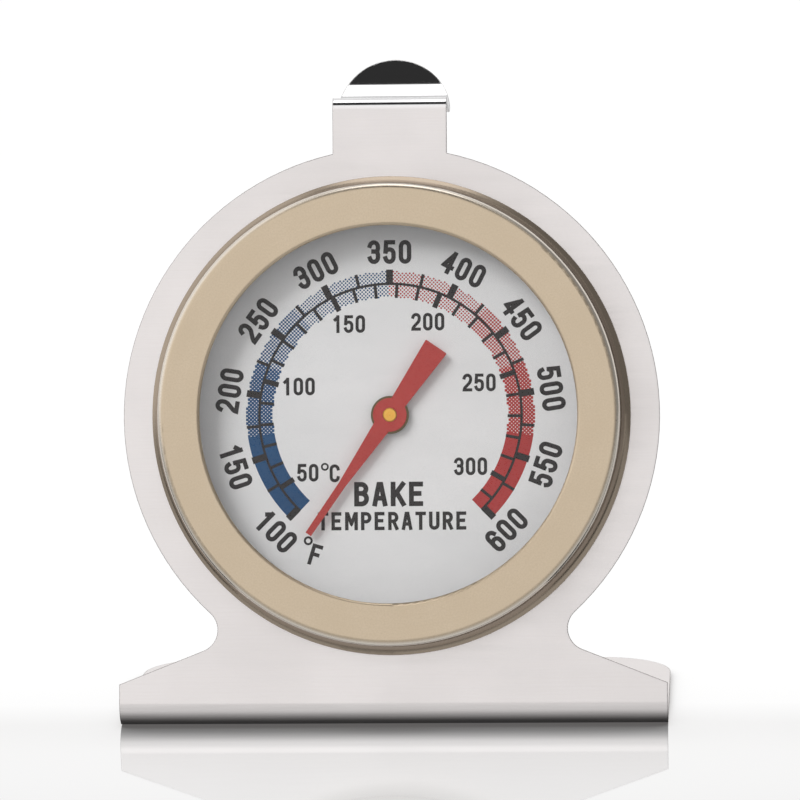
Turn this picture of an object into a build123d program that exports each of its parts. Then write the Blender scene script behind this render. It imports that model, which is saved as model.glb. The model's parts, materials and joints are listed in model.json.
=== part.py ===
from build123d import *
import os
from math import acos, asin, cos, degrees, pi, radians, sin, sqrt, tan

# Free-standing dial oven thermometer: a bent sheet frame, a round case that leans back in it,
# and a bimetal coil movement behind the dial.
# Row frame: +Z up, the viewer stands at -Y and looks along +Y, +X to the viewer's right.
# Origin: centre of the foot's flat resting face.  Millimetres and degrees.
#
# Places on the face are given as v, the height along the face from where its plane meets the
# floor, and n, the distance in front of the frame's face (negative is behind it).

os.makedirs("parts", exist_ok=True)

# ---------------------------------------------------------------- frame
SHEET = 0.6            # stainless sheet of the frame
LEAN = 11.3            # the face leans back by this angle
BEND_R = 2.35          # outer radius of the bend between face and foot
FOOT_FLAT = 31.4       # depth of the flat foot, bend tangent to rear edge
FOOT_CORNER_R = 8.0    # rear corners of the foot
BASE_HALF = 30.65      # half the width of the foot and base
BASE_SIDE_V = 5.02     # height of the base's straight sides
SHOULDER = 21.5        # slope of the base's shoulders
SHOULDER_END = 8.0     # shoulders are drawn inwards to this half width, inside the ring
NOTCH_R = 2.5          # fillet where the shoulder meets the ring
TAB_ROOT_R = 0.8
BASE_CORNER_R = 0.7
RING_R = 30.0          # outer radius of the ring
FRAME_HOLE_R = 23.6    # hole in the ring that takes the case
CASE_V = 34.94         # height of the case's centre

TAB_HALF = 6.39        # half the width of the tab and hook
TAB_START = 10.0       # the tab is drawn from here, inside the ring, above the case's centre
CREST_V = 70.6         # height of the fold at the top of the tab
FOLD_R = 1.1           # outer radius of that fold
STRIP_DROP = 10.0      # the strip behind the fold falls at this angle
STRIP_LEN = 3.4        # straight length behind the fold
TONGUE_BEND_R = 5.5    # inner radius of the bend up into the tongue
TONGUE_RISE = 72.0     # final angle of the tongue
TONGUE_LEN = 2.2       # straight length of the tongue above its bend
TONGUE_END_V = 69.4    # centre height of the tongue's rounded end
TONGUE_CUT_BACK = 1.2  # the rounding cut starts this far behind the end of the straight strip

# ---------------------------------------------------------------- bezel
BEZEL_R = 25.68        # outer radius of the crimped bezel
BEZEL_FRONT = 6.0
BEZEL_REAR = 0.05
BEZEL_T = 0.4          # bezel sheet
BEZEL_LIP_R = 0.7      # rounded outer lip
BEZEL_BASE_R = 26.75   # outer radius of the flared skirt, where it meets the frame
FLARE_R = 2.14         # outside radius of the flare
FLARE_FOOT_N = 0.35    # the outside of the flare starts here
OPENING_R = 20.95      # opening in the bezel
OPENING_EDGE_R = 0.35  # rounding of the opening's front edge
BEZEL_CRIMP_R = 24.0   # inner radius of the rolled rear edge

# ---------------------------------------------------------------- case
GAP = 0.01             # gap left between neighbouring pieces

CASE_R = 23.4          # outer radius of the drawn body
CASE_T = 0.4           # case sheet
CASE_FLANGE_R = 25.15  # flange that the bezel is rolled over
CASE_REAR = -5.0       # outside of the rear wall
CASE_BEVEL = 1.2       # outer bevel round the rear wall
CASE_INNER_BEVEL = 1.0
REAR_IN = CASE_REAR + CASE_T                      # inside of the rear wall
FLANGE_BACK = BEZEL_REAR + BEZEL_T + 0.02         # the flange sits on the bezel's rolled edge
FLANGE_FRONT = FLANGE_BACK + CASE_T
BUSH_HOLE_R = 1.3
RIVET_AT = 12.6        # bridge rivets, from the axis
RIVET_R = 0.8
POST_X, POST_Y = 0.75, 8.98                       # anchor post's pin, from the axis
PIN_HOLE_R = 0.55
LONG_VENT_AT, LONG_VENT_LEN, LONG_VENT_W = 17.6, 6.6, 2.2
ROUND_VENT_AT, ROUND_VENT_R = 5.4, 1.25

# ---------------------------------------------------------------- dial, spacer, lens, ring
DIAL_R = 24.9
DIAL_T = 0.5
DIAL_HOLE_R = 1.1
DIAL_BACK = FLANGE_FRONT + GAP
DIAL_FRONT = DIAL_BACK + DIAL_T

LENS_R = 25.1
LENS_T = 1.6
LENS_CHAMFER = 0.15
LENS_BACK = BEZEL_FRONT - BEZEL_T - 0.02 - LENS_T

SPACER_IN_R = 21.5
SPACER_OUT_R = 25.1
SPACER_T = 0.4

RETAINER_R = 26.2
RETAINER_T = 0.5

# ---------------------------------------------------------------- movement
PIVOT_R = 0.5          # both journals of the spindle
BORE_R = PIVOT_R + 0.04
BODY_R = 0.8           # thicker middle of the spindle

FLOOR = REAR_IN + GAP  # bridge feet and anchor post stand here
BRIDGE_TOP = 0.1
BRIDGE_T = 0.6
BRIDGE_BACK = BRIDGE_TOP - BRIDGE_T               # rear of the bridge's span
BRIDGE_FOOT_TOP = FLOOR + BRIDGE_T
BRIDGE_HALF_W = 2.6
BRIDGE_HOLE_R = 1.42
BRIDGE_CORNER_R = 0.7
LEG_IN = 10.2          # inside of the bridge's legs
LEG_OUT = LEG_IN + BRIDGE_T
FOOT_END = 14.6

REAR_BUSH_FRONT = REAR_IN + 0.4
FRONT_BUSH_BACK = BRIDGE_BACK - 0.27
SHOULDER_REAR = REAR_BUSH_FRONT + 0.22            # ends of the spindle's thicker middle
SHOULDER_FRONT = FRONT_BUSH_BACK - 0.22
SPINDLE_REAR = CASE_REAR - 0.06
WASHER_R = 1.3
WASHER_T = 0.15

COIL_T = 0.3           # bimetal strip thickness
COIL_W = 2.2           # bimetal strip width, along the spindle
COIL_R0 = 1.93         # centre line of the strip at the collar
COIL_PITCH = 1.2
COIL_TURNS = 5.2
COIL_POINTS = 150      # spline spans along each side of the strip
COIL_MID = -2.4        # middle of the strip, along the axis
COIL_BACK = COIL_MID - COIL_W / 2
COIL_END_R = COIL_R0 + COIL_PITCH * COIL_TURNS    # centre line radius at the post
COIL_RIVET_HOLE_R = 0.37

POST_W = 2.2
POST_IN = COIL_END_R + COIL_T / 2 + 0.05          # face of the post towards the coil
POST_DEPTH = 2 * (POST_Y - POST_IN)

POINTER_REST = 145.3   # anticlockwise from straight up as the viewer sees it
POINTER_TIP = 16.1
POINTER_TAIL = 9.2
POINTER_T = 0.3
POINTER_HUB_R = 1.88
POINTER_BACK = DIAL_FRONT + 0.85
POINTER_FACE = POINTER_BACK + POINTER_T
BOSS_R = 0.78

# ---------------------------------------------------------------- planes and directions
lean = radians(LEAN)
Y_BEND = -FOOT_FLAT / 2                                       # the bend leaves the floor here
Y_FACE = Y_BEND - BEND_R / cos(lean) - BEND_R * tan(lean)     # the face's plane meets the floor
FRONT_DIR = (0, -cos(lean), sin(lean))                        # out of the face, to the viewer
UP_DIR = (0, sin(lean), cos(lean))                            # up the face


def on_face(v, n=0.0):
    """Row coordinates of a point on the centre line."""
    return (0, v * sin(lean) - n * cos(lean) + Y_FACE, v * cos(lean) + n * sin(lean))


def face_plane(n=0.0):
    """Plane parallel to the face, centred on the case's axis: x to the right, y up the face."""
    return Plane(origin=on_face(CASE_V, n), x_dir=(1, 0, 0), z_dir=FRONT_DIR)


def section_plane(x=0, y=0):
    """Plane for turned sections, through (x, y) on the face: x is radius, y is n."""
    origin = face_plane().from_local_coords((x, y, 0))
    return Plane(origin=origin, x_dir=(1, 0, 0), z_dir=(0, -sin(lean), -cos(lean)))


AXIS_PLANE = section_plane()
AXIS = Axis(on_face(CASE_V), FRONT_DIR)

# Square to the strip's outer end, just below it: the coil rivet's holes are cut up from here.
COIL_RIVET_PLANE = Plane(
    origin=face_plane(COIL_MID).from_local_coords((POST_X, COIL_END_R - 0.6, 0)),
    x_dir=(1, 0, 0),
    z_dir=UP_DIR,
)


# ---------------------------------------------------------------- drawing helpers
def closed(points):
    """Closed polygon."""
    return Polyline(*points, points[0])


def on_circle(centre, radius, angle):
    """Point on a circle, angle in degrees anticlockwise from local x."""
    turn = radians(angle)
    return (centre[0] + radius * cos(turn), centre[1] + radius * sin(turn))


def arc(centre, radius, start, end):
    """Arc between two angles in degrees."""
    angles = (start, (start + end) / 2, end)
    return ThreePointArc(*[on_circle(centre, radius, angle) for angle in angles])


def turned(points):
    """Piece turned about the case's axis from a closed polygon of (radius, n)."""
    with BuildPart() as piece:
        with BuildSketch(AXIS_PLANE):
            with BuildLine():
                closed(points)
            make_face()
        revolve(axis=AXIS)
    return piece.part


def corners_where(sketch, plane, test):
    """Sketch corners whose |X| and Y, after plane.to_local_coords, pass the test.

    A sketch's corners are already in its own coordinates, so Y here is not the drawn Y.
    Changing the conversion changes which corners get rounded.
    """
    places = [(corner, plane.to_local_coords(corner.center())) for corner in sketch.vertices()]
    return [corner for corner, place in places if test(abs(place.X), place.Y)]


# ---------------------------------------------------------------- frame and closing rings
def frame_plate():
    """One bent and blanked sheet: foot, base, ring, tab and hook."""
    low_y = BEND_R * (1 + sin(lean)) / cos(lean) - CASE_V      # the bend ends here on the face
    side_y = BASE_SIDE_V - CASE_V
    shoulder_y = side_y + (BASE_HALF - SHOULDER_END) * tan(radians(SHOULDER))
    fold_v = CREST_V - FOLD_R
    fold_y = fold_v - CASE_V
    inner_bend_r = BEND_R - SHEET

    with BuildPart() as piece:
        # flat face: base, ring and tab
        with BuildSketch(face_plane()) as outline:
            with BuildLine():
                closed([
                    (-BASE_HALF, low_y), (BASE_HALF, low_y), (BASE_HALF, side_y),
                    (SHOULDER_END, shoulder_y), (-SHOULDER_END, shoulder_y),
                    (-BASE_HALF, side_y),
                ])
            make_face()
            Circle(RING_R)
            with BuildLine():
                closed([
                    (-TAB_HALF, TAB_START), (TAB_HALF, TAB_START),
                    (TAB_HALF, fold_y), (-TAB_HALF, fold_y),
                ])
            make_face()
            notches = corners_where(
                outline, face_plane(), lambda x, y: 16 < x < 18.5 and y < -20
            )
            fillet(notches, NOTCH_R)
            tab_roots = corners_where(
                outline, face_plane(), lambda x, y: abs(x - TAB_HALF) < 0.01 and 28 < y < 30
            )
            fillet(tab_roots, TAB_ROOT_R)
            base_corners = corners_where(
                outline, face_plane(),
                lambda x, y: abs(x - BASE_HALF) < 0.01 and abs(y - side_y) < 0.01,
            )
            fillet(base_corners, BASE_CORNER_R)
            Circle(FRAME_HOLE_R, mode=Mode.SUBTRACT)
        extrude(amount=-SHEET)

        # bend at the bottom of the face
        with BuildSketch(Plane.YZ):
            with BuildLine():
                centre = (Y_BEND, BEND_R)
                face_angle = 180 - LEAN
                arc(centre, BEND_R, 270, face_angle)
                Line(
                    on_circle(centre, BEND_R, face_angle),
                    on_circle(centre, inner_bend_r, face_angle),
                )
                arc(centre, inner_bend_r, face_angle, 270)
                Line((Y_BEND, SHEET), (Y_BEND, 0))
            make_face()
        extrude(amount=BASE_HALF, both=True)

        # flat foot behind the bend
        with BuildSketch(Plane.XY) as foot:
            with BuildLine():
                closed([
                    (-BASE_HALF, Y_BEND), (BASE_HALF, Y_BEND),
                    (BASE_HALF, FOOT_FLAT / 2), (-BASE_HALF, FOOT_FLAT / 2),
                ])
            make_face()
            fillet(foot.vertices().group_by(Axis.Y)[-1], FOOT_CORNER_R)
        extrude(amount=SHEET)

        # hook: fold over the tab, falling strip, and the tongue that turns up;
        # drawn from the side, x to the rear square to the face, y up the face
        fold_centre = (FOLD_R, fold_v)
        fold_in_r = FOLD_R - SHEET
        fold_end = 90 - STRIP_DROP
        crest_end = on_circle(fold_centre, FOLD_R, fold_end)
        strip_end = on_circle(crest_end, STRIP_LEN, -STRIP_DROP)
        bend_centre = on_circle(strip_end, TONGUE_BEND_R, fold_end)
        bend_out_r = TONGUE_BEND_R + SHEET
        bend_start = -90 - STRIP_DROP
        bend_end = TONGUE_RISE - 90
        tongue_top = on_circle(bend_centre, TONGUE_BEND_R, bend_end)
        tongue_under = on_circle(bend_centre, bend_out_r, bend_end)
        side_plane = Plane(
            origin=(0, Y_FACE, 0), x_dir=(0, cos(lean), -sin(lean)), z_dir=(1, 0, 0)
        )
        with BuildSketch(side_plane):
            with BuildLine():
                Line((SHEET, fold_v), (0, fold_v))
                arc(fold_centre, FOLD_R, 180, fold_end)
                Line(crest_end, strip_end)
                arc(bend_centre, TONGUE_BEND_R, bend_start, bend_end)
                Polyline(
                    tongue_top,
                    on_circle(tongue_top, TONGUE_LEN, TONGUE_RISE),
                    on_circle(tongue_under, TONGUE_LEN, TONGUE_RISE),
                    tongue_under,
                )
                arc(bend_centre, bend_out_r, bend_end, bend_start)
                Line(
                    on_circle(bend_centre, bend_out_r, bend_start),
                    on_circle(fold_centre, fold_in_r, fold_end),
                )
                arc(fold_centre, fold_in_r, fold_end, 180)
            make_face()
        extrude(amount=TAB_HALF, both=True)

        # round the free end of the tongue, square to the face
        cut_plane = Plane(
            origin=on_face(TONGUE_END_V, -(strip_end[0] + TONGUE_CUT_BACK)),
            x_dir=(1, 0, 0),
            z_dir=FRONT_DIR,
        )
        with BuildSketch(cut_plane):
            with BuildLine():
                closed([(-9, 0), (9, 0), (9, 12), (-9, 12)])
            make_face()
            Circle(TAB_HALF + 0.01, mode=Mode.SUBTRACT)
        extrude(amount=-14, mode=Mode.SUBTRACT)
    return piece.part


def case_cup():
    """Drawn cup with a flange, and vents and holes in its rear wall."""
    inner_r = CASE_R - CASE_T
    with BuildPart() as piece:
        with BuildSketch(AXIS_PLANE):
            with BuildLine():
                closed([
                    (0, CASE_REAR), (CASE_R - CASE_BEVEL, CASE_REAR),
                    (CASE_R, CASE_REAR + CASE_BEVEL), (CASE_R, FLANGE_BACK),
                    (CASE_FLANGE_R, FLANGE_BACK), (CASE_FLANGE_R, FLANGE_FRONT),
                    (inner_r, FLANGE_FRONT), (inner_r, REAR_IN + CASE_INNER_BEVEL),
                    (inner_r - CASE_INNER_BEVEL, REAR_IN), (0, REAR_IN),
                ])
            make_face()
        revolve(axis=AXIS)
        # long vents in a ring, round vents over the coil, and holes for bush, rivets and pin
        with BuildSketch(face_plane(CASE_REAR - 0.5)):
            with PolarLocations(LONG_VENT_AT, 10, start_angle=18):
                SlotOverall(LONG_VENT_LEN, LONG_VENT_W, rotation=90)
            with PolarLocations(ROUND_VENT_AT, 6, start_angle=30):
                Circle(ROUND_VENT_R)
            Circle(BUSH_HOLE_R)
            with Locations((RIVET_AT, 0), (-RIVET_AT, 0)):
                Circle(RIVET_R)
            with Locations((POST_X, POST_Y)):
                Circle(PIN_HOLE_R)
        extrude(amount=1.5, mode=Mode.SUBTRACT)
    return piece.part


def bezel_ring():
    """Rolled ring that closes the case, with a skirt that flares out to the frame."""
    inner_r = BEZEL_R - BEZEL_T
    front_in = BEZEL_FRONT - BEZEL_T
    crimp_in = BEZEL_REAR + BEZEL_T
    lip_centre = (BEZEL_R - BEZEL_LIP_R, BEZEL_FRONT - BEZEL_LIP_R)
    edge_centre = (OPENING_R + OPENING_EDGE_R, BEZEL_FRONT - OPENING_EDGE_R)
    # how far round the flare the outside and the inside of the sheet run
    flare_turn = acos(1 - (BEZEL_BASE_R - BEZEL_R) / FLARE_R)
    flare_top = FLARE_FOOT_N + FLARE_R * sin(flare_turn)
    flare_in_r = FLARE_R + BEZEL_T
    outer_end = 180 + degrees(flare_turn)
    inner_end = 180 + degrees(asin((flare_top - crimp_in) / flare_in_r))
    flare_centre = (BEZEL_R + FLARE_R, flare_top)

    with BuildPart() as piece:
        with BuildSketch(AXIS_PLANE):
            with BuildLine():
                # outside, from the rolled rear edge forwards
                Line((BEZEL_CRIMP_R, BEZEL_REAR), (BEZEL_BASE_R - 0.2, BEZEL_REAR))
                ThreePointArc(
                    (BEZEL_BASE_R - 0.2, BEZEL_REAR),
                    (BEZEL_BASE_R - 0.04, 0.14),
                    (BEZEL_BASE_R, FLARE_FOOT_N),
                )
                arc(flare_centre, FLARE_R, outer_end, 180)
                Line((BEZEL_R, flare_top), (BEZEL_R, lip_centre[1]))
                arc(lip_centre, BEZEL_LIP_R, 0, 90)
                Line((lip_centre[0], BEZEL_FRONT), (edge_centre[0], BEZEL_FRONT))
                # edge of the opening, then back along the inside
                arc(edge_centre, OPENING_EDGE_R, 90, 180)
                Polyline(
                    (OPENING_R, edge_centre[1]), (OPENING_R, front_in), (lip_centre[0], front_in)
                )
                arc(lip_centre, BEZEL_LIP_R - BEZEL_T, 90, 0)
                Line((inner_r, lip_centre[1]), (inner_r, flare_top))
                arc(flare_centre, flare_in_r, 180, inner_end)
                Polyline(
                    on_circle(flare_centre, flare_in_r, inner_end),
                    (BEZEL_CRIMP_R, crimp_in),
                    (BEZEL_CRIMP_R, BEZEL_REAR),
                )
            make_face()
        revolve(axis=AXIS)
    return piece.part


def dial_plate():
    with BuildPart() as piece:
        with BuildSketch(face_plane(DIAL_BACK)):
            Circle(DIAL_R)
            Circle(DIAL_HOLE_R, mode=Mode.SUBTRACT)
        extrude(amount=DIAL_T)
    return piece.part


def spacer_ring():
    """Channel section: a thin wall with a foot on the dial and a seat under the lens."""
    back = DIAL_FRONT + GAP
    front = LENS_BACK - 0.02
    wall_r = SPACER_IN_R + SPACER_T
    return turned([
        (SPACER_IN_R, back), (SPACER_OUT_R, back),
        (SPACER_OUT_R, back + SPACER_T), (wall_r, back + SPACER_T),
        (wall_r, front - SPACER_T), (SPACER_OUT_R, front - SPACER_T),
        (SPACER_OUT_R, front), (SPACER_IN_R, front),
    ])


def lens():
    with BuildPart() as piece:
        with BuildSketch(face_plane(LENS_BACK)):
            Circle(LENS_R)
        extrude(amount=LENS_T)
        chamfer(piece.edges(), LENS_CHAMFER)
    return piece.part


def retaining_ring():
    """Ring behind the frame's sheet that holds the case, notched round its inner edge."""
    with BuildPart() as piece:
        with BuildSketch(face_plane(-SHEET - 0.02)):
            Circle(RETAINER_R)
            Circle(CASE_R + 0.02, mode=Mode.SUBTRACT)
            with PolarLocations(CASE_R + 0.3, 12, start_angle=15):
                Rectangle(1.4, 2.0, mode=Mode.SUBTRACT)
        extrude(amount=-RETAINER_T)
    return piece.part


# ---------------------------------------------------------------- fixed pieces of the movement
def bridge():
    """Strip bent into a bridge over the coil, its two feet on the case's rear wall."""
    with BuildPart() as piece:
        with BuildSketch(AXIS_PLANE) as section:
            with BuildLine():
                closed([
                    (-FOOT_END, FLOOR), (-LEG_IN, FLOOR), (-LEG_IN, BRIDGE_BACK),
                    (LEG_IN, BRIDGE_BACK), (LEG_IN, FLOOR), (FOOT_END, FLOOR),
                    (FOOT_END, BRIDGE_FOOT_TOP), (LEG_OUT, BRIDGE_FOOT_TOP),
                    (LEG_OUT, BRIDGE_TOP), (-LEG_OUT, BRIDGE_TOP),
                    (-LEG_OUT, BRIDGE_FOOT_TOP), (-FOOT_END, BRIDGE_FOOT_TOP),
                ])
            make_face()
            outer_corners = corners_where(
                section, AXIS_PLANE, lambda x, y: abs(x - LEG_OUT) < 0.01 and y > 0
            )
            fillet(outer_corners, BRIDGE_CORNER_R)
        extrude(amount=BRIDGE_HALF_W, both=True)
        # holes for the front bush and the rivets
        with BuildSketch(face_plane(3)):
            Circle(BRIDGE_HOLE_R)
            with Locations((RIVET_AT, 0), (-RIVET_AT, 0)):
                Circle(RIVET_R)
        extrude(amount=-9, mode=Mode.SUBTRACT)
    return piece.part


def front_bush():
    """Flanged bush in the bridge."""
    front = BRIDGE_TOP + 0.3
    return turned([
        (BORE_R, FRONT_BUSH_BACK), (2.0, FRONT_BUSH_BACK),
        (2.0, BRIDGE_BACK - GAP), (1.4, BRIDGE_BACK - GAP),
        (1.4, BRIDGE_TOP + GAP), (1.75, BRIDGE_TOP + GAP),
        (1.6, front), (BORE_R, front),
    ])


def rear_bush():
    """Blind bush in the case's rear wall."""
    neck_r = BUSH_HOLE_R - GAP
    return turned([
        (0, CASE_REAR - 0.45), (1.5, CASE_REAR - 0.45), (1.9, CASE_REAR - 0.2),
        (1.9, CASE_REAR - GAP), (neck_r, CASE_REAR - GAP),
        (neck_r, REAR_IN + GAP), (2.1, REAR_IN + GAP),
        (2.1, REAR_BUSH_FRONT), (BORE_R, REAR_BUSH_FRONT),
        (BORE_R, CASE_REAR - 0.1), (0, CASE_REAR - 0.1),
    ])


def bridge_rivets():
    """Two rivets that hold the bridge's feet to the case, heads outside and inside."""
    shank_r = RIVET_R - 0.02
    head_back = BRIDGE_FOOT_TOP + GAP
    head_front = BRIDGE_FOOT_TOP + 0.45
    with BuildPart() as piece:
        for side in (-1, 1):
            plane = section_plane(x=side * RIVET_AT)
            with BuildSketch(plane):
                with BuildLine():
                    closed([
                        (0, CASE_REAR - 0.5), (0.9, CASE_REAR - 0.5), (1.4, CASE_REAR - 0.2),
                        (1.4, CASE_REAR - GAP), (shank_r, CASE_REAR - GAP),
                        (shank_r, head_back), (1.3, head_back),
                        (1.1, head_front), (0, head_front),
                    ])
                make_face()
            revolve(axis=Axis(plane.origin, FRONT_DIR))
    return piece.part


def spiral(offset):
    """Points of one side of the coil's strip, offset outwards from its centre line."""
    end = pi / 2                                  # the strip ends beside the anchor post
    start = end - 2 * pi * COIL_TURNS
    points = []
    for i in range(COIL_POINTS + 1):
        angle = start + (end - start) * i / COIL_POINTS
        radius = COIL_R0 + COIL_PITCH * (angle - start) / (2 * pi) + offset
        points.append((radius * cos(angle), radius * sin(angle)))
    return points


def bimetal_coil():
    """Spiral strip with a rivet hole near its outer end."""
    with BuildPart() as piece:
        with BuildSketch(face_plane(COIL_BACK)):
            with BuildLine():
                inside = spiral(-COIL_T / 2)
                outside = spiral(COIL_T / 2)
                Spline(*inside)
                Line(inside[-1], outside[-1])
                Spline(*outside)
                Line(outside[0], inside[0])
            make_face()
        extrude(amount=COIL_W)
        with BuildSketch(COIL_RIVET_PLANE):
            Circle(COIL_RIVET_HOLE_R)
        extrude(amount=1.2, mode=Mode.SUBTRACT)
    return piece.part


def anchor_post():
    """Block above the coil's outer end, with a pin spread behind the case's rear wall."""
    pin_r = PIN_HOLE_R - 0.02
    with BuildPart() as piece:
        with BuildSketch(face_plane(FLOOR)):
            with Locations((POST_X, POST_Y)):
                Rectangle(POST_W, POST_DEPTH)
        extrude(amount=COIL_BACK + COIL_W - FLOOR)
        fillet(piece.edges().filter_by(AXIS), 0.15)
        pin_plane = section_plane(POST_X, POST_Y)
        with BuildSketch(pin_plane):
            with BuildLine():
                closed([
                    (0, CASE_REAR - 0.35), (0.7, CASE_REAR - 0.35), (0.95, CASE_REAR - 0.15),
                    (0.95, CASE_REAR - GAP), (pin_r, CASE_REAR - GAP),
                    (pin_r, FLOOR + 0.2), (0, FLOOR + 0.2),
                ])
            make_face()
        revolve(axis=Axis(pin_plane.origin, FRONT_DIR))
        with BuildSketch(COIL_RIVET_PLANE):
            Circle(COIL_RIVET_HOLE_R)
        extrude(amount=4, mode=Mode.SUBTRACT)
    return piece.part


def coil_rivet():
    """Rivet that clamps the strip's outer end to the post; its axis runs up the face."""
    origin = face_plane(COIL_MID).from_local_coords((POST_X, 0, 0))
    low = sqrt(COIL_END_R**2 - POST_X**2) - COIL_T / 2 - 0.08   # inner edges of the two heads
    high = POST_IN + POST_DEPTH + GAP
    with BuildPart() as piece:
        with BuildSketch(Plane(origin=origin, x_dir=(1, 0, 0), z_dir=FRONT_DIR)):
            with BuildLine():
                closed([
                    (0, low - 0.28), (0.45, low - 0.28), (0.6, low - 0.1), (0.6, low),
                    (0.35, low), (0.35, high),
                    (0.65, high), (0.65, high + 0.1), (0.45, high + 0.28), (0, high + 0.28),
                ])
            make_face()
        revolve(axis=Axis(origin, UP_DIR))
    return piece.part


# ---------------------------------------------------------------- turning group
def spindle():
    tip = POINTER_FACE - 0.1
    return turned([
        (0, SPINDLE_REAR), (PIVOT_R - 0.12, SPINDLE_REAR), (PIVOT_R, SPINDLE_REAR + 0.12),
        (PIVOT_R, SHOULDER_REAR), (BODY_R, SHOULDER_REAR),
        (BODY_R, SHOULDER_FRONT), (PIVOT_R, SHOULDER_FRONT),
        (PIVOT_R, tip), (0, tip),
    ])


def thrust_washers():
    """A washer at each shoulder of the spindle."""
    with BuildPart() as piece:
        for back in (REAR_BUSH_FRONT + 0.04, SHOULDER_FRONT + 0.03):
            with BuildSketch(face_plane(back)):
                Circle(WASHER_R)
                Circle(PIVOT_R + 0.02, mode=Mode.SUBTRACT)
            extrude(amount=WASHER_T)
    return piece.part


def coil_collar():
    """Collar between the spindle and the coil's inner end."""
    overhang = 0.15
    with BuildPart() as piece:
        with BuildSketch(face_plane(COIL_BACK - overhang)):
            Circle(COIL_R0 - COIL_T / 2 - 0.03)
            Circle(BODY_R + GAP, mode=Mode.SUBTRACT)
        extrude(amount=COIL_W + 2 * overhang)
        chamfer(piece.edges().filter_by(GeomType.CIRCLE).group_by(SortBy.RADIUS)[-1], 0.1)
    return piece.part


def pointer():
    """Tapered pointer with a widening tail; local +x is its own direction."""
    turn = radians(90 + POINTER_REST)
    plane = Plane(
        origin=on_face(CASE_V, POINTER_BACK),
        x_dir=(cos(turn), sin(turn) * sin(lean), sin(turn) * cos(lean)),
        z_dir=FRONT_DIR,
    )
    # (distance along the pointer, half width), from tip to tail
    edge = [
        (POINTER_TIP, 0.36), (POINTER_TIP * 0.58, 0.42), (1.2, 0.98),
        (-1.2, 0.86), (-POINTER_TAIL + 0.1, 1.4), (-POINTER_TAIL, 1.3),
    ]
    with BuildPart() as piece:
        with BuildSketch(plane):
            with BuildLine():
                closed(edge + [(x, -y) for x, y in reversed(edge)])
            make_face()
            Circle(POINTER_HUB_R)
            Circle(BOSS_R + GAP, mode=Mode.SUBTRACT)
        extrude(amount=POINTER_T)
    return piece.part


def pointer_boss():
    """Flanged cap that joins the pointer to the spindle's front end."""
    bore_r = PIVOT_R + GAP
    rear = POINTER_BACK - 0.65
    flange_rear = POINTER_BACK - 0.35
    flange_front = POINTER_BACK - GAP
    bore_end = POINTER_FACE - 0.09
    return turned([
        (bore_r, rear), (1.2, rear), (1.2, flange_rear), (2.12, flange_rear),
        (2.12, flange_front), (BOSS_R, flange_front), (BOSS_R, POINTER_FACE + 0.04),
        (BOSS_R - 0.1, POINTER_FACE + 0.12), (0, POINTER_FACE + 0.14),
        (0, bore_end), (bore_r, bore_end),
    ])


# ---------------------------------------------------------------- export, one file per function
PIECES = (
    frame_plate, case_cup, bezel_ring, dial_plate, spacer_ring, lens, retaining_ring,
    bridge, front_bush, rear_bush, bridge_rivets, bimetal_coil, anchor_post, coil_rivet,
    spindle, thrust_washers, coil_collar, pointer, pointer_boss,
)
for build in PIECES:
    part = build()
    part.label = build.__name__
    export_step(part, f"parts/{build.__name__}.step")
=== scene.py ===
# A dial oven thermometer: a round leaning dial in a folded sheet-steel frame on a glossy white floor.
# It stands on z = 0 and faces -Y, with +X to the viewer's right. The print on the dial is modelled.
import json
import math

import bpy
import numpy as np
from mathutils import Matrix, Vector
from mathutils.geometry import delaunay_2d_cdt


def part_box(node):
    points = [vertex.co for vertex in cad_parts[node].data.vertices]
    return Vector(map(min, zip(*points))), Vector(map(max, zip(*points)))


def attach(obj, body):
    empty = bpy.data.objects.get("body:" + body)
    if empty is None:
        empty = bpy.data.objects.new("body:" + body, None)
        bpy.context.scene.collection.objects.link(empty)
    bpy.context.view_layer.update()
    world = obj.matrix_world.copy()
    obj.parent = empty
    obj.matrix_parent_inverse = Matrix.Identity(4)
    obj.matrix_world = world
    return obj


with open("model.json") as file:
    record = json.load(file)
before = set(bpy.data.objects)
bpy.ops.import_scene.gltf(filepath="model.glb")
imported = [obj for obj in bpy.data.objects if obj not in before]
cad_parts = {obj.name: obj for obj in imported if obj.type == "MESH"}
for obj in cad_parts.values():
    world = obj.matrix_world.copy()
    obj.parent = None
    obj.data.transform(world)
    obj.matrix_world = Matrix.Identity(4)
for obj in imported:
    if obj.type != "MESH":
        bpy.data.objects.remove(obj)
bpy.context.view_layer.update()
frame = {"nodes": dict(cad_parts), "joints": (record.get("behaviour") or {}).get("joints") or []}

NODES = frame["nodes"]

# ---------------------------------------------------------------- the dial's own frame
# RIGHT, UP along the leaning face and OUT towards the viewer, measured from the pointer's axis.
# Lengths on the dial are in mm.
turn = next(joint for joint in frame["joints"] if joint["name"] == "pointer_turn")
AXIS_POINT = Vector(turn["pos_m"])
OUT = -Vector(turn["axis"]).normalized()
RIGHT = Vector((1.0, 0.0, 0.0))
UP = OUT.cross(RIGHT).normalized()
MM = 0.001


def face_point(x, y, height):
    return AXIS_POINT + (RIGHT * x + UP * y + OUT * height) * MM


def top_height(node):
    """Greatest height of a node above the pointer's axis point, in mm."""
    points = np.array([v.co for v in NODES[node].data.vertices], float)
    return float(((points - np.array(AXIS_POINT)) @ np.array(OUT) * 1000).max())


# Heights of the print: both inks start on the plate, and black stands above the colours.
INK_BASE = top_height("dial_plate")
COLOUR_TOP = INK_BASE + 0.008
BLACK_TOP = INK_BASE + 0.016

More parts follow.
